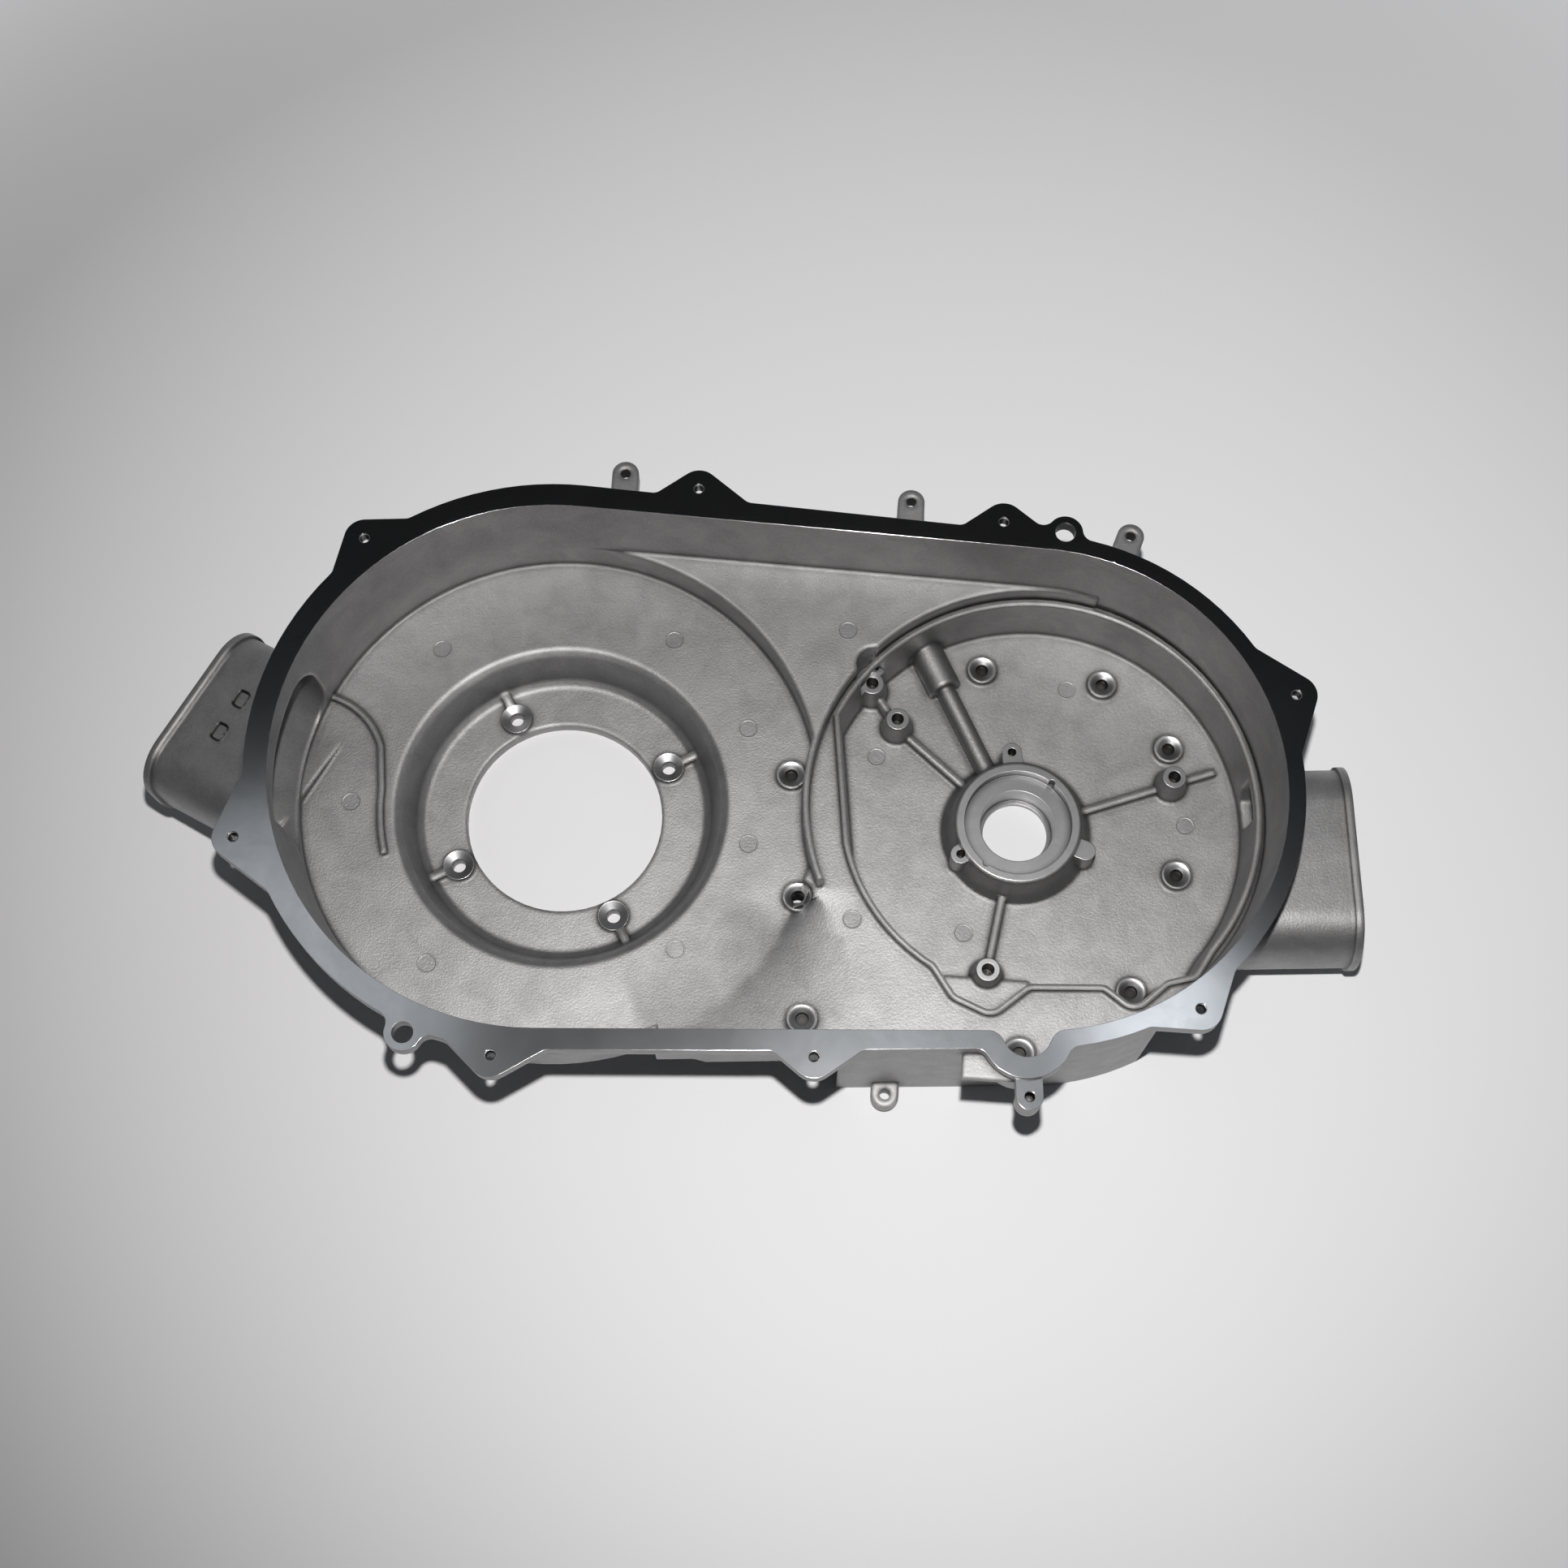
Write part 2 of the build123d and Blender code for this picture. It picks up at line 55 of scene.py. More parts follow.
# Edit mode with only the wanted faces or edges of the piece selected
def pick(piece, kind, wanted):
    bpy.ops.object.mode_set(mode="EDIT")
    bpy.ops.mesh.select_mode(type=kind)
    bpy.ops.mesh.select_all(action="DESELECT")
    bpy.ops.object.mode_set(mode="OBJECT")
    for element in piece.data.polygons if kind == "FACE" else piece.data.edges:
        element.select = wanted(element)
    bpy.ops.object.mode_set(mode="EDIT")


def looksUp(face):
    steepest = 0.5  # a face whose normal rises less than this is a wall
    return face.normal.z > steepest


def newMaterial(name):
    material = bpy.data.materials.new(name)
    material.use_nodes = True
    nodes = material.node_tree.nodes
    return material, nodes, material.node_tree.links, nodes["Principled BSDF"]


# inputs are (name, socket type, default), outputs are (name, socket type)
def newGroup(name, inputs, outputs):
    group = bpy.data.node_groups.new(name, "ShaderNodeTree")
    for socketName, kind, default in inputs:
        socket = group.interface.new_socket(socketName, in_out="INPUT", socket_type=kind)
        if default is not None:
            socket.default_value = default
    for socketName, kind in outputs:
        group.interface.new_socket(socketName, in_out="OUTPUT", socket_type=kind)
    start = group.nodes.new("NodeGroupInput")
    end = group.nodes.new("NodeGroupOutput")
    return group, start, end


def useGroup(nodes, group, **values):
    node = nodes.new("ShaderNodeGroup")
    node.node_tree = group
    for name, value in values.items():
        node.inputs[name].default_value = value
    return node


def feed(links, socket, value):
    if hasattr(value, "is_linked"):
        links.new(value, socket)
    else:
        socket.default_value = value


def remap(nodes, links, value, fromLow, fromHigh, toLow, toHigh):
    node = nodes.new("ShaderNodeMapRange")
    feed(links, node.inputs["Value"], value)
    feed(links, node.inputs["From Min"], fromLow)
    feed(links, node.inputs["From Max"], fromHigh)
    feed(links, node.inputs["To Min"], toLow)
    feed(links, node.inputs["To Max"], toHigh)
    return node.outputs["Result"]


def maths(nodes, links, operation, first, second):
    node = nodes.new("ShaderNodeMath")
    node.operation = operation
    feed(links, node.inputs[0], first)
    feed(links, node.inputs[1], second)
    return node.outputs[0]


# Sockets 6 and 7 of the node are its two colours, and output 2 is the mixed one
def mixColors(nodes, links, share, first, second):
    node = nodes.new("ShaderNodeMix")
    node.data_type = "RGBA"
    node.inputs[6].default_value = (*first, 1)
    node.inputs[7].default_value = (*second, 1)
    links.new(share, node.inputs[0])
    return node.outputs[2]


# Cast skin: soft blotches and a fine grain, which is also the height for the bump.
# Each noise is stretched from its own low and high to the full range.
skinLook = {"Blotch": {"detail": 4.0, "roughness": 0.62, "distortion": 0.6, "low": 0.34, "high": 0.66},
            "Grain": {"detail": 3.0, "roughness": 0.7, "distortion": 0.0, "low": 0.3, "high": 0.7}}


def makeSkinGroup(look):
    group, start, end = newGroup(
        "castSkin",
        [("Vector", "NodeSocketVector", None), ("Blotch Scale", "NodeSocketFloat", None),
         ("Grain Scale", "NodeSocketFloat", None), ("Blotch Depth", "NodeSocketFloat", None),
         ("Grain Depth", "NodeSocketFloat", None)],
        [("Shade", "NodeSocketFloat"), ("Height", "NodeSocketFloat")])
    nodes, links = group.nodes, group.links
    shade = 1.0
    for name, noiseLook in look.items():
        noise = nodes.new("ShaderNodeTexNoise")
        noise.inputs["Detail"].default_value = noiseLook["detail"]
        noise.inputs["Roughness"].default_value = noiseLook["roughness"]
        noise.inputs["Distortion"].default_value = noiseLook["distortion"]
        links.new(start.outputs["Vector"], noise.inputs["Vector"])
        links.new(start.outputs[f"{name} Scale"], noise.inputs["Scale"])
        level = remap(nodes, links, noise.outputs["Fac"], noiseLook["low"], noiseLook["high"], -1.0, 1.0)
        depth = maths(nodes, links, "MULTIPLY", level, start.outputs[f"{name} Depth"])
        shade = maths(nodes, links, "ADD", depth, shade)
    links.new(shade, end.inputs["Shade"])
    links.new(noise.outputs["Fac"], end.inputs["Height"])
    return group


# Edges: a mask of the places where the rounded normal leaves the flat one
edgeGain = 6.0


def makeEdgeGroup():
    group, start, end = newGroup(
        "roundedEdge",
        [("Gain", "NodeSocketFloat", edgeGain), ("Normal", "NodeSocketVector", None)],
        [("Mask", "NodeSocketFloat")])
    nodes, links = group.nodes, group.links
    geometry = nodes.new("ShaderNodeNewGeometry")
    dot = nodes.new("ShaderNodeVectorMath")
    dot.operation = "DOT_PRODUCT"
    links.new(start.outputs["Normal"], dot.inputs[0])
    links.new(geometry.outputs["Normal"], dot.inputs[1])
    away = maths(nodes, links, "SUBTRACT", 1.0, dot.outputs["Value"])
    gained = nodes.new("ShaderNodeMath")
    gained.operation = "MULTIPLY"
    gained.use_clamp = True
    links.new(away, gained.inputs[0])
    links.new(start.outputs["Gain"], gained.inputs[1])
    links.new(gained.outputs[0], end.inputs["Mask"])
    return group


# Painted shade in corners: a factor that darkens the colour, from how closed in the place is
paintedShadeLook = {"samples": 6, "closed": 0.45, "open": 0.97}


def makePaintedShadeGroup(look):
    group, start, end = newGroup(
        "paintedShade",
        [("Distance", "NodeSocketFloat", None), ("Darkest", "NodeSocketFloat", None)],
        [("Shade", "NodeSocketFloat")])
    nodes, links = group.nodes, group.links
    cover = nodes.new("ShaderNodeAmbientOcclusion")
    cover.samples = look["samples"]
    cover.only_local = True
    links.new(start.outputs["Distance"], cover.inputs["Distance"])
    shade = remap(nodes, links, cover.outputs["AO"], look["closed"], look["open"],
                  start.outputs["Darkest"], 1.0)
    links.new(shade, end.inputs["Shade"])
    return group


skinGroup = makeSkinGroup(skinLook)
edgeGroup = makeEdgeGroup()
paintedShadeGroup = makePaintedShadeGroup(paintedShadeLook)

# Aluminium as cast, as turned in the hub and on the bosses, and as milled on the joint face.
# A mark is darker cast skin with crisp edges, and the near-black finish is painted shade in holes and on the
# duct frames.
metalLook = {
    "cast": {"color": (0.29, 0.287, 0.288), "edgeDeburrAndHighlightColor": (0.36, 0.356, 0.356), "metallic": 0.93,
             "roughness": 0.49, "edgeRoughness": 0.45, "blotchScale": 55.0, "blotchDepth": 0.11,
             "grainScale": 900.0, "grainDepth": 0.10, "bump": 0.00012, "edgeRadius": 0.0034,
             "rimRadius": 0.0003, "paintedShadeReach": 0.005, "paintedShadeDarkest": 0.3},
    "turned": {"color": (0.32, 0.32, 0.325), "edgeDeburrAndHighlightColor": (0.6, 0.6, 0.6), "metallic": 1.0,
               "roughness": 0.38, "edgeRoughness": 0.3, "blotchScale": 90.0, "blotchDepth": 0.06,
               "grainScale": 1200.0, "grainDepth": 0.05, "bump": 0.00002, "edgeRadius": 0.0006,
               "rimRadius": 0.0003, "paintedShadeReach": 0.004, "paintedShadeDarkest": 0.3},
    "milled": {"color": (0.56, 0.57, 0.59), "edgeDeburrAndHighlightColor": (0.6, 0.6, 0.6), "metallic": 1.0,
               "roughness": 0.15, "edgeRoughness": 0.15, "blotchScale": 40.0, "blotchDepth": 0.08,
               "grainScale": 1500.0, "grainDepth": 0.02, "bump": 0.0, "edgeRadius": 0.0003,
               "rimRadius": 0.0003, "paintedShadeReach": 0.002, "paintedShadeDarkest": 0.8},
}
metalLook["mark"] = {**metalLook["cast"], "color": (0.25, 0.248, 0.25), "edgeRadius": 0.0003}
metalLook["bored"] = {**metalLook["turned"], "color": (0.07, 0.068, 0.066), "edgeDeburrAndHighlightColor": (0.2, 0.2, 0.2)}

# The cutter left the edges of the joint face sharp: edges are rounded by edgeRadius below rimLow,
# and by rimRadius above rimHigh
rimLow, rimHigh = 0.082, 0.088
bevelSamples = 6


def makeMetal(name, look):
    material, nodes, links, principled = newMaterial(name)
    coords = nodes.new("ShaderNodeTexCoord").outputs["Object"]
    skin = useGroup(nodes, skinGroup, **{
        "Blotch Scale": look["blotchScale"], "Blotch Depth": look["blotchDepth"],
        "Grain Scale": look["grainScale"], "Grain Depth": look["grainDepth"]})
    links.new(coords, skin.inputs["Vector"])
    bevel = nodes.new("ShaderNodeBevel")
    bevel.samples = bevelSamples
    place = nodes.new("ShaderNodeSeparateXYZ")
    links.new(coords, place.inputs[0])
    radius = remap(nodes, links, place.outputs["Z"], rimLow, rimHigh, look["edgeRadius"], look["rimRadius"])
    links.new(radius, bevel.inputs["Radius"])
    bump = nodes.new("ShaderNodeBump")
    bump.inputs["Distance"].default_value = look["bump"]
    links.new(skin.outputs["Height"], bump.inputs["Height"])
    links.new(bevel.outputs["Normal"], bump.inputs["Normal"])
    links.new(bump.outputs["Normal"], principled.inputs["Normal"])
    edge = useGroup(nodes, edgeGroup)
    links.new(bevel.outputs["Normal"], edge.inputs["Normal"])
    # Painted shade: the colour darkens in corners and recesses, on top of the cast skin's tone
    paintedShade = useGroup(nodes, paintedShadeGroup, Distance=look["paintedShadeReach"], Darkest=look["paintedShadeDarkest"])
    # Rounded edges take a lighter colour: partly deburred metal, partly a painted highlight
    base = mixColors(nodes, links, edge.outputs["Mask"], look["color"], look["edgeDeburrAndHighlightColor"])
    shaded = nodes.new("ShaderNodeVectorMath")
    shaded.operation = "SCALE"
    links.new(base, shaded.inputs[0])
    shade = maths(nodes, links, "MULTIPLY", skin.outputs["Shade"], paintedShade.outputs["Shade"])
    links.new(shade, shaded.inputs["Scale"])
    links.new(shaded.outputs["Vector"], principled.inputs["Base Color"])
    rough = remap(nodes, links, edge.outputs["Mask"], 0.0, 1.0, look["roughness"], look["edgeRoughness"])
    links.new(rough, principled.inputs["Roughness"])
    principled.inputs["Metallic"].default_value = look["metallic"]
    return material


metals = {name: makeMetal(f"{name}Aluminium", look) for name, look in metalLook.items()}
finishes = list(metals)
print("metals", *finishes)

# The casting: a copy of the CAD node with its doubled points merged.
# The levels are the heights of the flat faces that were milled or turned.
castingLook = {
    "node": "variator_housing", "merge": 0.000001, "smoothAngle": 28.0, "slack": 0.0002, "flat": 0.999,
    "milledLevels": (0.090, 0.087),
    "turnedLevels": (0.025, 0.0235, 0.022, 0.0185, 0.003),
    "hubBore": 0.0285, "bossRadius": 0.0075, "bossHigh": 0.041, "holeRadius": 0.0034,
    "bosses": ((0.2159, 0.0986), (0.2806, 0.0949), (0.3169, 0.0607), (0.3224, -0.0092), (0.3002, -0.0736),
               (0.1181, 0.0238), (0.1260, -0.0417), (0.1326, -0.1068), (0.2415, -0.1165)),
    "posts": ((0.1573, 0.0815), (0.1718, 0.0623), (0.3184, 0.0402), (0.2254, -0.0705)),
    "lugs": ((0.2085, -0.0103), (0.2327, 0.0474)), "lugHoleRadius": 0.0024,
    "cutPlace": (0.1260, -0.0417), "cutSides": 42,
    "cuts": ({"low": 0.0321, "high": 0.0461, "radius": 0.0079},
             {"low": 0.0222, "high": 0.0330, "radius": 0.0034}),
    "crankBossTop": 0.010, "crankBossHole": 0.0036, "crankBossAngle": 30.5, "crankDish": 0.0018,
    "crankBossRadius": 0.0081,
}
shaft = mounts["shaft_seat"]["pos_m"]
boltRadius = mounts["crank_bolts"]["dims"]["pcd_mm"] * millimetre / 2
boltCount = mounts["crank_bolts"]["dims"]["count"]


def near(point, centre, reach):
    return hypot(point[0] - centre[0], point[1] - centre[1]) < reach


# Whether the whole face lies within reach of one of the centres, seen from above
def within(corners, centres, reach):
    return any(all(near(corner, centre, reach) for corner in corners) for centre in centres)


def crankBosses(look):
    angles = [radians(look["crankBossAngle"]) + 2 * pi * index / boltCount for index in range(boltCount)]
    return [(boltRadius * cos(angle), boltRadius * sin(angle)) for angle in angles]


def finishOf(face, mesh, look):
    level = face.center.z
    corners = [mesh.vertices[index].co for index in face.vertices]
    if level < look["bossHigh"]:
        # Hole walls take the near-black painted shade
        inHole = within(corners, look["bosses"] + look["posts"], look["holeRadius"])
        if inHole or within(corners, look["lugs"], look["lugHoleRadius"]):
            return "bored"
        if within(corners, look["bosses"], look["bossRadius"]):
            return "turned"
    if face.normal.z > look["flat"]:
        for finish in ("milled", "turned"):
            if any(abs(level - height) < look["slack"] for height in look[f"{finish}Levels"]):
                return finish
    if within(corners, [shaft], look["hubBore"]):
        return "turned"
    onCrankBoss = within(corners, crankBosses(look), look["crankBossRadius"])
    if onCrankBoss and level > look["crankBossTop"] - look["slack"]:
        return "turned"
    return "cast"


# The four crank bosses get their shallow dishes: the rim of each hole sinks
def dishCrankBosses(mesh, look):
    reach = look["crankBossHole"] + look["slack"]
    for boss in crankBosses(look):
        for point in mesh.vertices:
            if abs(point.co.z - look["crankBossTop"]) < look["slack"] and near(point.co, boss, reach):
                point.co.z -= look["crankDish"]


# The ledge's corner is cut back round the boss beside it, and out of its hole
def clearBoss(casting, look, size):
    middle = (size["low"] + size["high"]) / 2
    bpy.ops.mesh.primitive_cylinder_add(vertices=look["cutSides"], radius=size["radius"],
                                        depth=size["high"] - size["low"],
                                        location=(*look["cutPlace"], middle))
    cutter = bpy.context.active_object
    cut = casting.modifiers.new("clearBoss", "BOOLEAN")
    cut.operation = "DIFFERENCE"
    cut.solver = "EXACT"
    cut.object = cutter
    bpy.context.view_layer.objects.active = casting
    bpy.ops.object.modifier_apply(modifier=cut.name)
    deselect()
    cutter.select_set(True)
    bpy.ops.object.delete()
    casting.select_set(True)
    bpy.context.view_layer.objects.active = casting


def makeCasting(look):
    deselect()
    node = frame["nodes"][look["node"]]
    node.select_set(True)
    bpy.context.view_layer.objects.active = node
    bpy.ops.object.duplicate()
    casting = bpy.context.active_object
    casting.name = "casting"
    bpy.ops.object.mode_set(mode="EDIT")
    bpy.ops.mesh.select_all(action="SELECT")
    bpy.ops.mesh.remove_doubles(threshold=look["merge"])
    bpy.ops.object.mode_set(mode="OBJECT")
    bpy.ops.mesh.customdata_custom_splitnormals_clear()
    for size in look["cuts"]:
        clearBoss(casting, look, size)
    casting.data.materials.clear()
    for metal in metals.values():
        casting.data.materials.append(metal)
    for face in casting.data.polygons:
        face.material_index = finishes.index(finishOf(face, casting.data, look))
    dishCrankBosses(casting.data, look)
    bpy.ops.object.shade_smooth_by_angle(angle=radians(look["smoothAngle"]))
    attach(casting, "root")
    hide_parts(look["node"])
    return casting


casting = makeCasting(castingLook)
print("casting", len(casting.data.polygons), "faces")


# Copies of a pattern at matrices, joined into one piece at the origin
def spread(pattern, name, metal, matrices):
    copies = []
    for matrix in matrices:
        deselect()
        pattern.select_set(True)
        bpy.context.view_layer.objects.active = pattern
        bpy.ops.object.duplicate()
        copy = bpy.context.active_object
        copy.matrix_world = matrix
        copies.append(copy)
    deselect()
    pattern.select_set(True)
    bpy.ops.object.delete()
    for copy in copies:
        copy.select_set(True)
    bpy.context.view_layer.objects.active = copies[0]
    bpy.ops.object.join()
    bpy.ops.object.transform_apply(location=True, rotation=True, scale=True)
    piece = bpy.context.active_object
    piece.name = name
    piece.data.materials.clear()
    piece.data.materials.append(metal)
    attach(piece, "root")
    print(name, len(piece.data.polygons), "faces")


# Threads of the tapped holes: a small diamond wound up the wall of the hole
threadLook = {"holeRadius": 0.0027, "ridge": 0.0004, "corners": 4, "pitch": 0.001, "turns": 7, "steps": 20,
              "belowFace": 0.0005}


def makeThreads(look):
    deselect()
    bpy.ops.mesh.primitive_circle_add(vertices=look["corners"], radius=look["ridge"],
                                      location=(look["holeRadius"], 0, 0), rotation=(pi / 2, 0, 0))
    thread = bpy.context.active_object
    bpy.ops.object.transform_apply(location=True, rotation=True, scale=True)
    screw = thread.modifiers.new("wind", "SCREW")
    screw.screw_offset = look["pitch"]
    screw.iterations = look["turns"]
    screw.steps = look["steps"]
    screw.render_steps = look["steps"]
    screw.use_merge_vertices = False
    bpy.ops.object.modifier_apply(modifier=screw.name)
    bpy.ops.object.mode_set(mode="EDIT")
    bpy.ops.mesh.select_all(action="SELECT")
    bpy.ops.mesh.fill_holes(sides=look["corners"])
    bpy.ops.mesh.normals_make_consistent(inside=False)
    bpy.ops.object.mode_set(mode="OBJECT")
    height = look["turns"] * look["pitch"] + look["belowFace"]
    places = []
    for name, mount in mounts.items():
        if mount["kind"] == "threaded_hole":
            x, y, middle = mount["pos_m"]
            face = middle + mount["dims"]["length_mm"] * millimetre / 2
            places.append(Matrix.Translation((x, y, face - height)))
    spread(thread, "threads", metals["turned"], places)


makeThreads(threadLook)

# Ejector marks: shallow round pads with a raised rim on the floors
markLook = {
    "radius": 0.0052, "rise": 0.00018, "sunk": 0.0003, "rim": 0.0006, "slope": 0.0003, "dip": 0.00012,
    "vertices": 40, "smoothAngle": 10.0,
    "places": ((-0.0717, 0.0817, 0.029), (0.0508, 0.0956, 0.029), (0.0937, 0.0485, 0.029),
               (0.0986, -0.0147, 0.029), (0.0658, -0.0733, 0.029), (-0.0592, -0.0895, 0.029),
               (-0.1087, -0.0065, 0.029), (0.1425, 0.0990, 0.050), (0.1544, -0.0533, 0.037),
               (0.1621, 0.0457, 0.006), (0.2618, 0.0913, 0.006), (0.3267, 0.0187, 0.006),
               (0.2128, -0.0480, 0.006)),
}


def makeMarks(look):
    deselect()
    bpy.ops.mesh.primitive_cylinder_add(vertices=look["vertices"], radius=look["radius"],
                                        depth=look["rise"] + look["sunk"],
                                        location=(0, 0, (look["rise"] - look["sunk"]) / 2))
    mark = bpy.context.active_object
    bpy.ops.object.transform_apply(location=True, rotation=True, scale=True)
    pick(mark, "FACE", looksUp)
    bpy.ops.mesh.inset(thickness=look["rim"])
    bpy.ops.mesh.inset(thickness=look["slope"])
    bpy.ops.transform.translate(value=(0, 0, -look["dip"]))
    bpy.ops.object.mode_set(mode="OBJECT")
    bpy.ops.object.shade_smooth_by_angle(angle=radians(look["smoothAngle"]))
    places = [Matrix.Translation(place) for place in look["places"]]
    spread(mark, "ejectorMarks", metals["mark"], places)


makeMarks(markLook)

# Two small raised frames on top of the inlet duct, placed from its mouth: (along, across)
ductFrameLook = {"halfHeight": 0.026, "length": 0.0100, "width": 0.0072, "rise": 0.0013, "sunk": 0.0006,
                 "corner": 0.0024, "segments": 4, "wall": 0.0016, "dip": 0.0016,
                 "places": ((-0.0262, -0.0115), (-0.0266, 0.0084))}


def makeDuctFrames(look):
    deselect()
    bpy.ops.mesh.primitive_cube_add(size=1, location=(0, 0, (look["rise"] - look["sunk"]) / 2),
                                    scale=(look["width"], look["length"], look["rise"] + look["sunk"]))
    pad = bpy.context.active_object
    bpy.ops.object.transform_apply(location=True, rotation=True, scale=True)
    points = pad.data.vertices

    def stands(edge):
        first, second = edge.vertices
        return abs(points[first].co.z - points[second].co.z) > look["rise"]

    pick(pad, "EDGE", stands)
    bpy.ops.mesh.bevel(offset=look["corner"], segments=look["segments"])
    bpy.ops.object.mode_set(mode="OBJECT")
    pick(pad, "FACE", looksUp)
    bpy.ops.mesh.inset(thickness=look["wall"])
    bpy.ops.transform.translate(value=(0, 0, -look["dip"]))
    bpy.ops.object.mode_set(mode="OBJECT")
    axis = Vector(mounts["inlet_duct"]["axis"])
    side = Vector((0, 0, 1)).cross(axis).normalized()
    up = axis.cross(side)
    turned = Matrix((axis, side, up)).transposed().to_4x4()
    mouth = Vector(mounts["inlet_duct"]["pos_m"])
    places = [Matrix.Translation(mouth + up * look["halfHeight"] + axis * along + side * across) @ turned
              for along, across in look["places"]]
    # The frames take the near-black painted shade, standing in for their dark outline
    spread(pad, "ductFrames", metals["bored"], places)


makeDuctFrames(ductFrameLook)

# Table: a pale plane, with painted shade making it slightly darker at the left
tableLook = {"size": 8.0, "leftColor": (0.70, 0.695, 0.705), "rightColor": (0.76, 0.765, 0.78),
             "leftX": -0.35, "rightX": 0.35, "roughness": 0.55,
             "centre": (0.12, 0.0, 0.0), "fadeStart": 0.55, "fadeEnd": 0.8, "farColor": (0.62, 0.62, 0.63)}


def makeTable(look):
    deselect()
    bpy.ops.mesh.primitive_plane_add(size=look["size"], location=(0, 0, 0))
    table = bpy.context.active_object
    table.name = "table"
    material, nodes, links, principled = newMaterial("tableTop")
    coords = nodes.new("ShaderNodeTexCoord").outputs["Object"]
    parts = nodes.new("ShaderNodeSeparateXYZ")
    links.new(coords, parts.inputs[0])
    # Painted shade: the colour darkens towards the left
    share = remap(nodes, links, parts.outputs["X"], look["leftX"], look["rightX"], 0.0, 1.0)
    color = mixColors(nodes, links, share, look["leftColor"], look["rightColor"])
    links.new(color, principled.inputs["Base Color"])
    principled.inputs["Roughness"].default_value = look["roughness"]
    # Far out, beyond the photo's frame, the camera sees the table run into the backdrop
    distance = nodes.new("ShaderNodeVectorMath")
    distance.operation = "DISTANCE"
    distance.inputs[1].default_value = look["centre"]
    links.new(coords, distance.inputs[0])
    fade = remap(nodes, links, distance.outputs["Value"], look["fadeStart"], look["fadeEnd"], 0.0, 1.0)
    far = nodes.new("ShaderNodeEmission")
    far.inputs["Color"].default_value = (*look["farColor"], 1)
    seen = nodes.new("ShaderNodeMixShader")
    camera = nodes.new("ShaderNodeLightPath").outputs["Is Camera Ray"]
    links.new(maths(nodes, links, "MULTIPLY", fade, camera), seen.inputs[0])
    links.new(principled.outputs[0], seen.inputs[1])
    links.new(far.outputs[0], seen.inputs[2])
    links.new(seen.outputs[0], nodes["Material Output"].inputs["Surface"])
    table.data.materials.append(material)


makeTable(tableLook)
print("table laid")

# Camera: the view is 71 degrees above the table, with the image's right along "right"
cameraLook = {"target": (0.1161, -0.0014, 0.090), "right": (0.99746, 0.0712, 0.0), "elevation": 71.2,
              "distance": 1.155, "lens": 53.8, "sensor": 36.0}


def makeCamera(look):
    right = Vector(look["right"]).normalized()
    level = Vector((0, 0, 1)).cross(right)
    tilt = radians(look["elevation"])
    back = -level * cos(tilt) + Vector((0, 0, 1)) * sin(tilt)
    up = back.cross(right)
    data = bpy.data.cameras.new("camera")
    data.lens = look["lens"]
    data.sensor_width = look["sensor"]
    data.dof.use_dof = False
    camera = bpy.data.objects.new("camera", data)
    scene.collection.objects.link(camera)
    place = Vector(look["target"]) + back * look["distance"]
    turned = Matrix((right, up, back)).transposed().to_4x4()
    camera.matrix_world = Matrix.Translation(place) @ turned
    scene.camera = camera


makeCamera(cameraLook)
print("camera set")

# Light: a small lamp above the lens, three panels that only the metal mirrors, and the room
lightLook = {
    "key": {"place": (0.14, -0.22, 1.29), "aim": (0.22, 0.10, 0.0), "radius": 0.02, "power": 66.0,
            "angle": 74.0, "blend": 1.0, "color": (1.0, 0.985, 0.97)},
    "panelAim": (0.12, 0.0, 0.05), "panelColor": (0.93, 0.97, 1.0),
    "panels": {"right": {"place": (0.51, 0.23, 1.5), "size": 0.18, "power": 0.155},
               "middle": {"place": (0.22, 0.16, 1.5), "size": 0.28, "power": 0.09},
               "left": {"place": (-0.45, 0.2, 1.5), "size": 0.4, "power": 0.25}},
    "room": {"color": (0.93, 0.96, 1.0), "bandTop": 0.35, "bandEnd": 0.8, "zenith": 0.02, "frontShare": 0.25,
             "strength": 0.42, "backdrop": (0.66, 0.66, 0.67)},
}


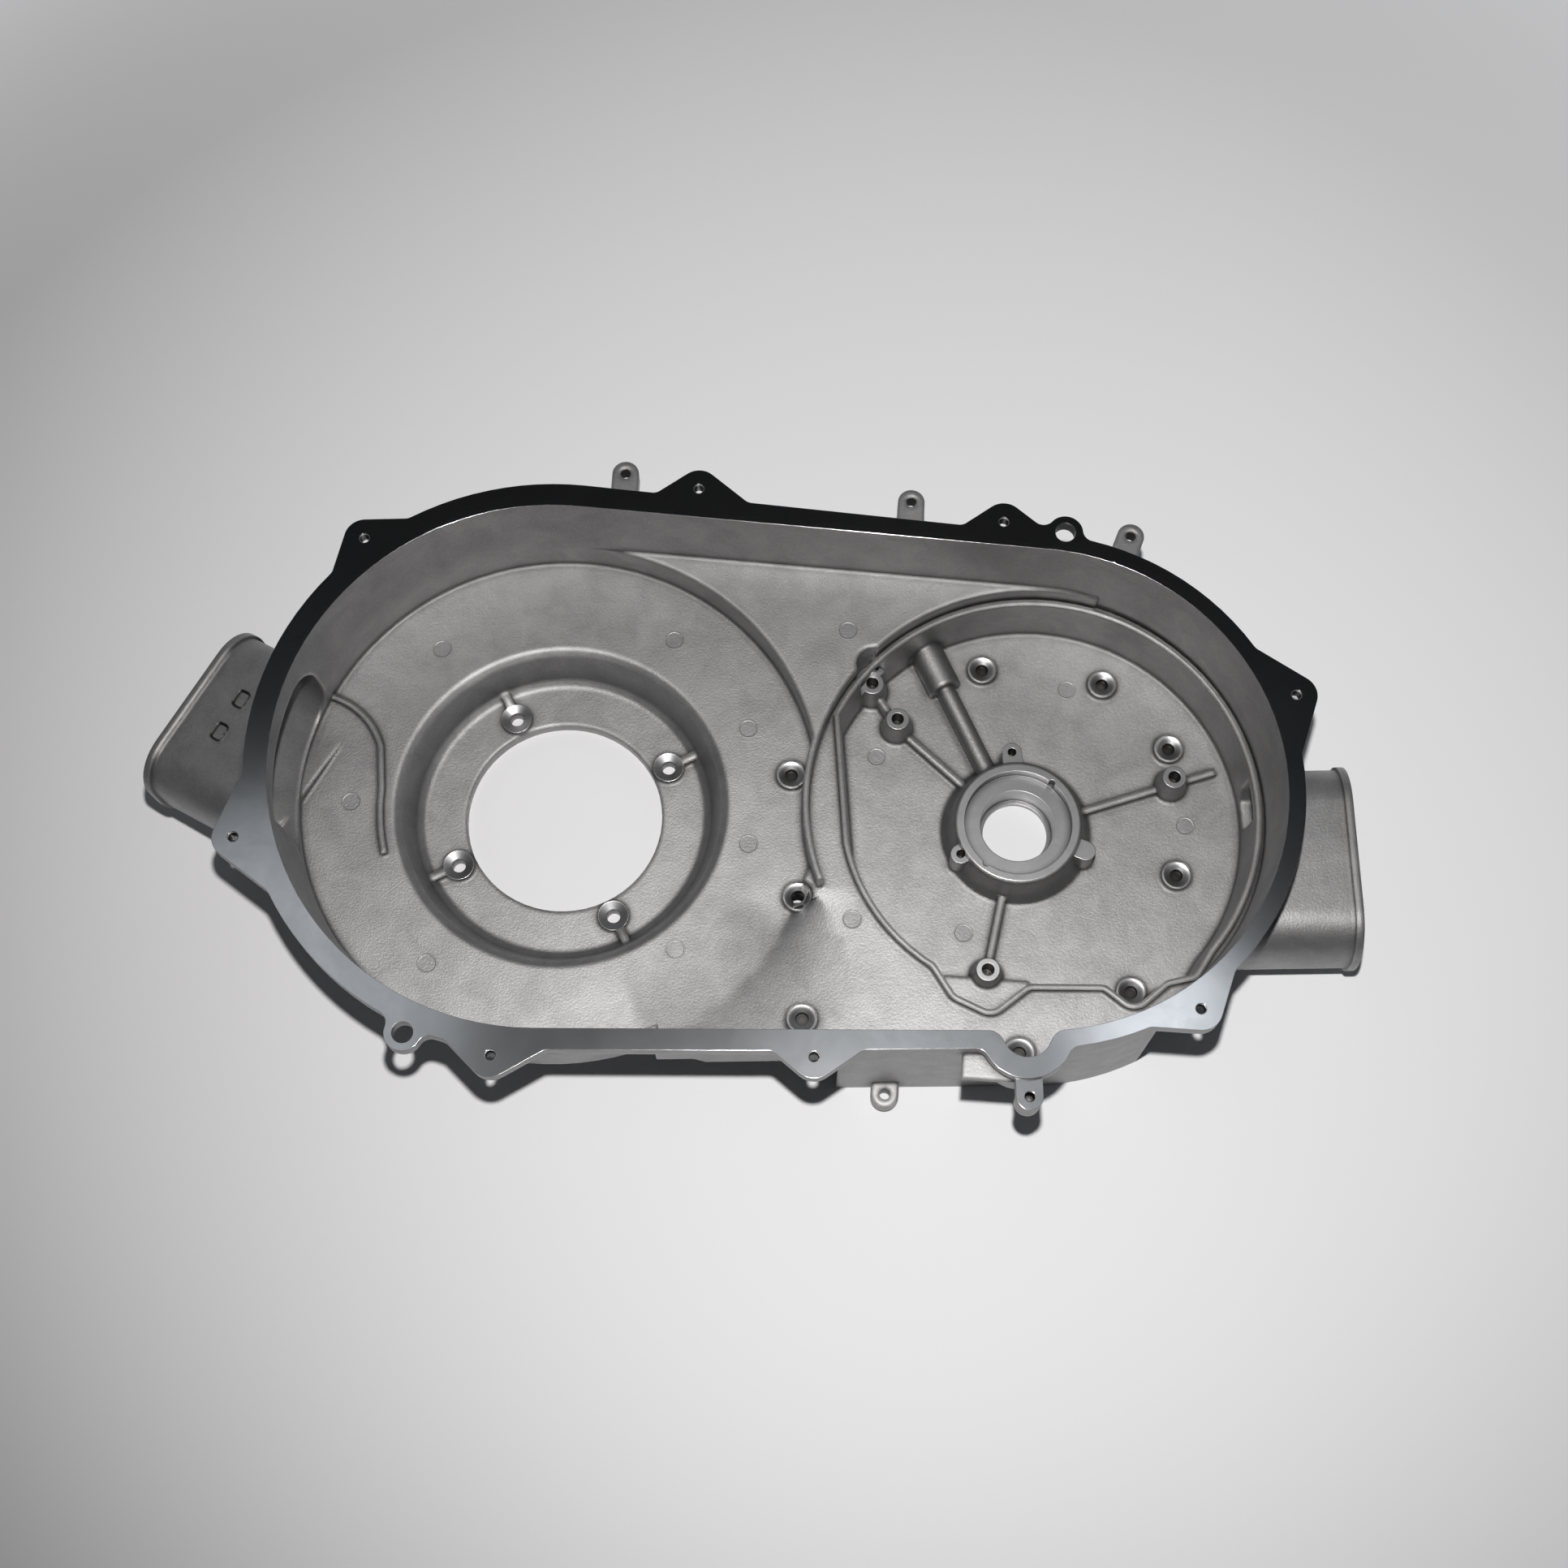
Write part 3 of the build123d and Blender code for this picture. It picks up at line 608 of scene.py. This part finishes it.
def makeLamp(name, kind, look, target, color):
    data = bpy.data.lights.new(name, kind)
    data.energy = look["power"]
    data.color = color
    lamp = bpy.data.objects.new(name, data)
    scene.collection.objects.link(lamp)
    lamp.location = look["place"]
    aim = Vector(target) - Vector(look["place"])
    lamp.rotation_euler = aim.to_track_quat("-Z", "Y").to_euler()
    return lamp


# The room is bright near the horizon and dark overhead, and the camera sees a pale backdrop instead
def makeRoom(look):
    world = bpy.data.worlds.new("room")
    scene.world = world
    world.use_nodes = True
    nodes, links = world.node_tree.nodes, world.node_tree.links
    parts = nodes.new("ShaderNodeSeparateXYZ")
    links.new(nodes.new("ShaderNodeTexCoord").outputs["Generated"], parts.inputs[0])
    band = remap(nodes, links, parts.outputs["Z"], look["bandTop"], look["bandEnd"], 1.0, look["zenith"])
    side = remap(nodes, links, parts.outputs["Y"], -1.0, 1.0, look["frontShare"], 1.0)
    light = nodes["Background"]
    light.inputs["Color"].default_value = (*look["color"], 1)
    strength = maths(nodes, links, "MULTIPLY", maths(nodes, links, "MULTIPLY", band, side), look["strength"])
    links.new(strength, light.inputs["Strength"])
    backdrop = nodes.new("ShaderNodeBackground")
    backdrop.inputs["Color"].default_value = (*look["backdrop"], 1)
    seen = nodes.new("ShaderNodeMixShader")
    links.new(nodes.new("ShaderNodeLightPath").outputs["Is Camera Ray"], seen.inputs[0])
    links.new(light.outputs[0], seen.inputs[1])
    links.new(backdrop.outputs[0], seen.inputs[2])
    links.new(seen.outputs[0], nodes["World Output"].inputs["Surface"])


def makeLights(look):
    keyLook = look["key"]
    key = makeLamp("key", "SPOT", keyLook, keyLook["aim"], keyLook["color"])
    key.data.shadow_soft_size = keyLook["radius"]
    key.data.spot_size = radians(keyLook["angle"])
    key.data.spot_blend = keyLook["blend"]
    for name, panelLook in look["panels"].items():
        panel = makeLamp(f"{name}Panel", "AREA", panelLook, look["panelAim"], look["panelColor"])
        panel.data.shape = "DISK"
        panel.data.size = panelLook["size"]
        panel.visible_diffuse = False
    makeRoom(look["room"])


makeLights(lightLook)
scene.view_settings.view_transform = "Standard"
print("lights set")
